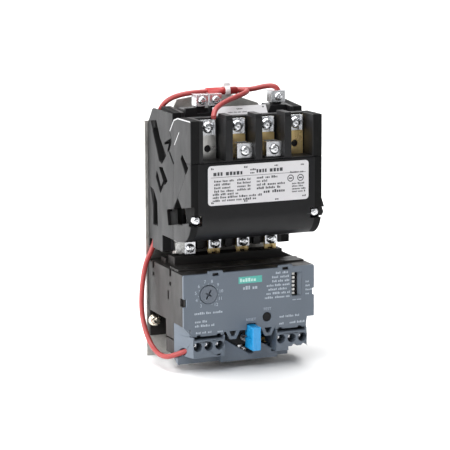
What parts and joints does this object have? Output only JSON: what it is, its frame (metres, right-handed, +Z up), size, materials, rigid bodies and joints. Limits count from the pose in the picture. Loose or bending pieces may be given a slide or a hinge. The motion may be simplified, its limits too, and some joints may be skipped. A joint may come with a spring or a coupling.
{
  "type": "magnetic motor starter",
  "caption": "Open-type magnetic motor starter: contactor with barriered line terminals above an electronic overload relay with dial, option switches and reset button, on a steel plate.",
  "frame": {"origin": "midway between the two lower mounting holes, on the plate's back face, where it meets the panel", "axes": "+X across the starter to the right as seen from the front, +Y back into the panel, +Z up"},
  "size_m": [0.1011, 0.0759, 0.1792],
  "materials": {
    "galvanised_plate": "zinc-galvanised sheet, faint spangle",
    "housing_black": "moulded black thermoset, satin",
    "cover_black": "moulded black plastic, satin",
    "screw_zinc": "bright zinc plate",
    "screw_nickel": "warm nickel plate",
    "label_film": "printed film label",
    "terminal_brass": "stamped brass",
    "terminal_tin": "tinned brass",
    "contact_silver": "silver alloy",
    "contact_copper": "copper",
    "clamp_zinc": "bright zinc plate",
    "lamination_steel": "stacked laminations",
    "cushion_rubber": "soft rubber",
    "bobbin_black": "moulded nylon",
    "winding_wire": "enamelled wire under varnish",
    "carrier_plastic": "moulded thermoset",
    "spring_steel": "spring steel",
    "relay_black": "moulded dark plastic",
    "relay_gray": "moulded blue-gray plastic",
    "board_green": "solder mask",
    "component_black": "moulded",
    "dial_gray": "moulded",
    "button_black": "moulded",
    "button_blue": "moulded",
    "slider_white": "moulded",
    "lead_red": "extruded insulation",
    "sleeve_red": "heat-shrunk sleeve",
    "tie_white": "moulded nylon"
  },
  "bodies": {
    "base": {"arc_cover": "cover_black", "auxiliary_line_terminal": "terminal_tin", "auxiliary_load_terminal": "terminal_tin", "board_components": "component_black", "board_screws": "screw_zinc", "box_lug_screws": "screw_zinc", "box_lugs": "clamp_zinc", "bus_bars": "terminal_brass", "cable_tie": "tie_white", "circuit_board": "board_green", "coil_bobbin": "bobbin_black", "coil_clamp_screws": "screw_zinc", "coil_clamps": "clamp_zinc", "coil_label": "label_film", "coil_winding": "winding_wire", "contactor_screws": "screw_zinc", "control_clamps": "clamp_zinc", "control_screws": "screw_zinc", "cover_screws": "screw_zinc", "current_transformers": "winding_wire", "dial_potentiometer": "component_black", "fixed_contact_tips": "contact_silver", "foot_screws": "screw_nickel", "front_housing": "housing_black", "lead_to_auxiliary": "lead_red", "lead_to_coil": "lead_red", "lead_to_relay": "lead_red", "line_terminals": "terminal_brass", "load_terminals": "terminal_brass", "lower_housing": "relay_gray", "magnet_core": "lamination_steel", "magnet_cushions": "cushion_rubber", "mounting_plate": "galvanised_plate", "nameplate": "label_film", "rear_housing": "housing_black", "relay_body": "relay_black", "relay_cover": "relay_gray", "reset_guide": "component_black", "reset_spring": "spring_steel", "return_springs": "spring_steel", "saddle_clamps": "clamp_zinc", "shading_rings": "contact_copper", "splice_sleeve": "sleeve_red", "switch_body": "component_black", "terminal_screws": "screw_zinc"},
    "carrier": {"contact_carrier": "carrier_plastic", "armature": "lamination_steel", "armature_rivet": "screw_zinc", "moving_contacts": "contact_copper", "contact_springs": "spring_steel"},
    "dial": {"current_dial": "dial_gray"},
    "test": {"test_button": "button_black"},
    "reset": {"reset_button": "button_blue"},
    "lever": {"trip_lever": "slider_white"},
    "slider_1": {"option_slider_1": "slider_white"},
    "slider_2": {"option_slider_2": "slider_white"},
    "slider_3": {"option_slider_3": "slider_white"},
    "slider_4": {"option_slider_4": "slider_white"},
    "slider_5": {"option_slider_5": "slider_white"},
    "slider_6": {"option_slider_6": "slider_white"}
  },
  "joints": [
    {"name": "carrier_slide", "type": "slide", "parent": "base", "child": "carrier", "axis": [0, 1, 0], "range_m": [0, 0.0054], "stiffness_N_per_m": 700, "springref_m": -0.004, "deforming": ["return_springs"]},
    {"name": "current_dial_turn", "type": "hinge", "parent": "base", "child": "dial", "pos_m": [-0.0281, -0.06, 0.0465], "axis": [0, -1, 0], "range_deg": [-135, 135]},
    {"name": "test_button_press", "type": "slide", "parent": "base", "child": "test", "axis": [0, 1, 0], "range_m": [0, 0.0012], "stiffness_N_per_m": 600, "springref_m": -0.001},
    {"name": "reset_button_press", "type": "slide", "parent": "base", "child": "reset", "axis": [0, 1, 0], "range_m": [0, 0.003], "stiffness_N_per_m": 500, "springref_m": -0.002, "deforming": ["reset_spring"]},
    {"name": "trip_lever_turn", "type": "hinge", "parent": "base", "child": "lever", "pos_m": [0.0013, -0.0446, 0.0108], "axis": [-1, 0, 0], "range_deg": [0, 16.5]},
    {"name": "option_switch_1", "type": "slide", "parent": "base", "child": "slider_1", "axis": [1, 0, 0], "range_m": [0, 0.0016]},
    {"name": "option_switch_2", "type": "slide", "parent": "base", "child": "slider_2", "axis": [1, 0, 0], "range_m": [0, 0.0016]},
    {"name": "option_switch_3", "type": "slide", "parent": "base", "child": "slider_3", "axis": [1, 0, 0], "range_m": [0, 0.0016]},
    {"name": "option_switch_4", "type": "slide", "parent": "base", "child": "slider_4", "axis": [1, 0, 0], "range_m": [0, 0.0016]},
    {"name": "option_switch_5", "type": "slide", "parent": "base", "child": "slider_5", "axis": [1, 0, 0], "range_m": [0, 0.0016]},
    {"name": "option_switch_6", "type": "slide", "parent": "base", "child": "slider_6", "axis": [1, 0, 0], "range_m": [0, 0.0016]}
  ],
  "couplings": [
    {"joint": "trip_lever_turn", "follows": "reset_button_press", "rad_per_m": 93.1}
  ]
}
